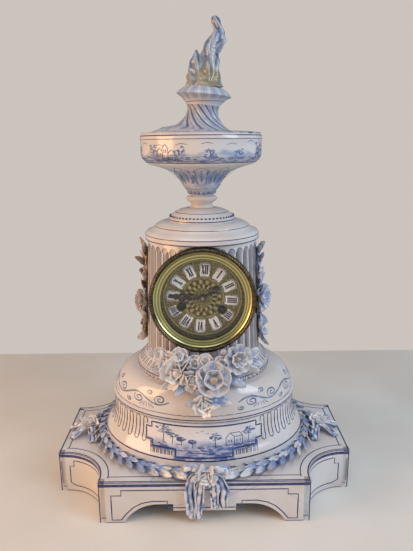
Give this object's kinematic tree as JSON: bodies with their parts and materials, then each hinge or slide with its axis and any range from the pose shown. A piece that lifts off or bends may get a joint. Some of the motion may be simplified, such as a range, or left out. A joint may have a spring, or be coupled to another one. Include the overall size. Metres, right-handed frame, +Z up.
{
  "type": "porcelain mantel clock",
  "caption": "Porcelain mantel clock: oblong plinth, oval drum, fluted round case with a glazed dial, urn with a flame finial, a spring-driven striking movement with pendulum and bell inside.",
  "frame": {"origin": "middle of the plinth's underside, on the upright axis of the case, which is also the middle of the clock from side to side", "axes": "+X to the right as the dial is read, +Y to the back, +Z up"},
  "size_m": [0.372, 0.252, 0.577],
  "materials": {
    "porcelain": "gloss",
    "blue_porcelain": "gloss",
    "lacquered_brass": "polished",
    "movement_brass": "satin",
    "clear_glass": "clear",
    "gilt_dial": "satin",
    "enamel": "gloss",
    "blued_steel": "blued",
    "steel": "satin",
    "bell_metal": "polished"
  },
  "bodies": {
    "case": {"plinth": "porcelain", "drum": "porcelain", "drum_panel": "porcelain", "tier": "porcelain", "case_body": "porcelain", "case_cover": "porcelain", "urn_foot": "porcelain", "urn_bowl": "porcelain", "base_garland": "blue_porcelain", "front_bow": "blue_porcelain", "left_bow": "blue_porcelain", "right_bow": "blue_porcelain", "left_garland": "blue_porcelain", "right_garland": "blue_porcelain", "front_bouquet": "blue_porcelain", "bezel_ring": "lacquered_brass", "front_hinge_pin": "lacquered_brass", "dial": "gilt_dial", "cartouches": "enamel", "front_plate": "movement_brass", "back_plate": "movement_brass", "pillars": "movement_brass", "back_cock": "movement_brass", "bell": "bell_metal", "bell_stand": "movement_brass", "straps": "movement_brass", "strap_screws": "steel", "rear_bezel": "lacquered_brass", "rear_hinge_pin": "lacquered_brass"},
    "lid_group": {"lid": "porcelain", "lid_collar": "blue_porcelain", "flame": "porcelain"},
    "front_door": {"door_ring": "lacquered_brass", "glass": "clear_glass"},
    "rear_door_body": {"rear_door": "lacquered_brass"},
    "minute_group": {"centre_wheel": "movement_brass", "cannon_pinion": "steel", "minute_hand": "blued_steel", "hand_collet": "movement_brass"},
    "hour_group": {"hour_wheel": "movement_brass", "hour_hand": "blued_steel"},
    "motion_group": {"minute_wheel": "movement_brass"},
    "going_barrel_body": {"going_barrel": "movement_brass"},
    "going_arbor_body": {"going_arbor": "steel"},
    "going_click_body": {"going_click": "steel"},
    "second_body": {"second_wheel": "movement_brass"},
    "third_body": {"third_wheel": "movement_brass"},
    "escape_body": {"escape_wheel": "movement_brass"},
    "pallet_body": {"pallets": "steel"},
    "pendulum_body": {"pendulum_rod": "steel", "pendulum_bob": "movement_brass"},
    "strike_barrel_body": {"strike_barrel": "movement_brass"},
    "strike_arbor_body": {"strike_arbor": "steel"},
    "strike_click_body": {"strike_click": "steel"},
    "strike_second_body": {"strike_second_wheel": "movement_brass", "count_wheel": "movement_brass"},
    "pin_body": {"pin_wheel": "movement_brass"},
    "stop_body": {"stop_wheel": "movement_brass"},
    "fly_body": {"fly": "movement_brass"},
    "hammer_body": {"hammer": "steel"}
  },
  "joints": [
    {"name": "lid_lift", "type": "slide", "parent": "case", "child": "lid_group", "axis": [0, 0, 1], "range_m": [0, 0.06]},
    {"name": "front_door_hinge", "type": "hinge", "parent": "case", "child": "front_door", "pos_m": [0.06485, -0.0671, 0.25333], "axis": [0.0872, 0, 0.9962], "range_deg": [0, 110]},
    {"name": "rear_door_hinge", "type": "hinge", "parent": "case", "child": "rear_door_body", "pos_m": [0.03995, 0.0659, 0.2555], "axis": [-0.0872, 0, -0.9962], "range_deg": [0, 110]},
    {"name": "minute_arbor", "type": "hinge", "parent": "case", "child": "minute_group", "pos_m": [0, -0.09, 0.259], "axis": [0, 1, 0], "continuous": true},
    {"name": "hour_pipe", "type": "hinge", "parent": "case", "child": "hour_group", "pos_m": [0, -0.076, 0.259], "axis": [0, 1, 0], "continuous": true},
    {"name": "motion_arbor", "type": "hinge", "parent": "case", "child": "motion_group", "pos_m": [-0.0067, -0.076, 0.26932], "axis": [0, 1, 0], "continuous": true},
    {"name": "second_arbor", "type": "hinge", "parent": "case", "child": "second_body", "pos_m": [0.01478, -0.09, 0.2676], "axis": [0, 1, 0], "continuous": true},
    {"name": "going_barrel_turn", "type": "hinge", "parent": "case", "child": "going_barrel_body", "pos_m": [0.0229, -0.09, 0.24469], "axis": [0, 1, 0], "continuous": true},
    {"name": "third_arbor", "type": "hinge", "parent": "case", "child": "third_body", "pos_m": [-0.00728, -0.09, 0.27313], "axis": [0, 1, 0], "continuous": true},
    {"name": "escape_arbor", "type": "hinge", "parent": "case", "child": "escape_body", "pos_m": [0.002, -0.09, 0.28191], "axis": [0, 1, 0], "continuous": true},
    {"name": "going_winding", "type": "hinge", "parent": "case", "child": "going_arbor_body", "pos_m": [0.0229, -0.09, 0.24469], "axis": [0, 1, 0], "continuous": true},
    {"name": "strike_winding", "type": "hinge", "parent": "case", "child": "strike_arbor_body", "pos_m": [-0.02503, -0.09, 0.24889], "axis": [0, 1, 0], "continuous": true},
    {"name": "going_click_rock", "type": "hinge", "parent": "case", "child": "going_click_body", "pos_m": [0.03449, -0.09, 0.2478], "axis": [0, 1, 0], "range_deg": [0, 8], "stiffness_Nm_per_rad": 0.02},
    {"name": "strike_click_rock", "type": "hinge", "parent": "case", "child": "strike_click_body", "pos_m": [-0.03591, -0.09, 0.25396], "axis": [0, -1, 0], "range_deg": [0, 8], "stiffness_Nm_per_rad": 0.02},
    {"name": "fly_arbor", "type": "hinge", "parent": "case", "child": "fly_body", "pos_m": [-0.00902, -0.09, 0.29235], "axis": [0, 1, 0], "continuous": true},
    {"name": "stop_arbor", "type": "hinge", "parent": "case", "child": "stop_body", "pos_m": [-0.01152, -0.09, 0.28547], "axis": [0, 1, 0], "continuous": true},
    {"name": "pin_arbor", "type": "hinge", "parent": "case", "child": "pin_body", "pos_m": [-0.0201, -0.09, 0.28317], "axis": [0, 1, 0], "continuous": true},
    {"name": "strike_second_arbor", "type": "hinge", "parent": "case", "child": "strike_second_body", "pos_m": [-0.02715, -0.09, 0.27309], "axis": [0, 1, 0], "continuous": true},
    {"name": "strike_barrel_turn", "type": "hinge", "parent": "case", "child": "strike_barrel_body", "pos_m": [-0.02503, -0.09, 0.24889], "axis": [0, 1, 0], "continuous": true},
    {"name": "pendulum_swing", "type": "hinge", "parent": "case", "child": "pendulum_body", "pos_m": [0.00375, 0.002, 0.30184], "axis": [0, 1, 0], "range_deg": [-3, 3]},
    {"name": "pallet_rock", "type": "hinge", "parent": "case", "child": "pallet_body", "pos_m": [0.00305, -0.09, 0.29387], "axis": [0, 1, 0], "range_deg": [-3.9, 3.9]},
    {"name": "hammer_swing", "type": "hinge", "parent": "case", "child": "hammer_body", "pos_m": [-0.03222, -0.09, 0.28651], "axis": [0, 1, 0], "range_deg": [0, 12], "stiffness_Nm_per_rad": 0.05}
  ],
  "couplings": [
    {"joint": "hour_pipe", "follows": "minute_arbor", "ratio": 0.083333},
    {"joint": "motion_arbor", "follows": "minute_arbor", "ratio": -0.33333},
    {"joint": "second_arbor", "follows": "minute_arbor", "ratio": -0.14286},
    {"joint": "going_barrel_turn", "follows": "minute_arbor", "ratio": 0.020408},
    {"joint": "third_arbor", "follows": "minute_arbor", "ratio": -12},
    {"joint": "escape_arbor", "follows": "minute_arbor", "ratio": 144},
    {"joint": "strike_barrel_turn", "follows": "strike_second_arbor", "ratio": -0.14286},
    {"joint": "pin_arbor", "follows": "strike_second_arbor", "ratio": -9},
    {"joint": "stop_arbor", "follows": "strike_second_arbor", "ratio": 90},
    {"joint": "fly_arbor", "follows": "strike_second_arbor", "ratio": -720},
    {"joint": "pallet_rock", "follows": "pendulum_swing", "ratio": 1.2742}
  ]
}
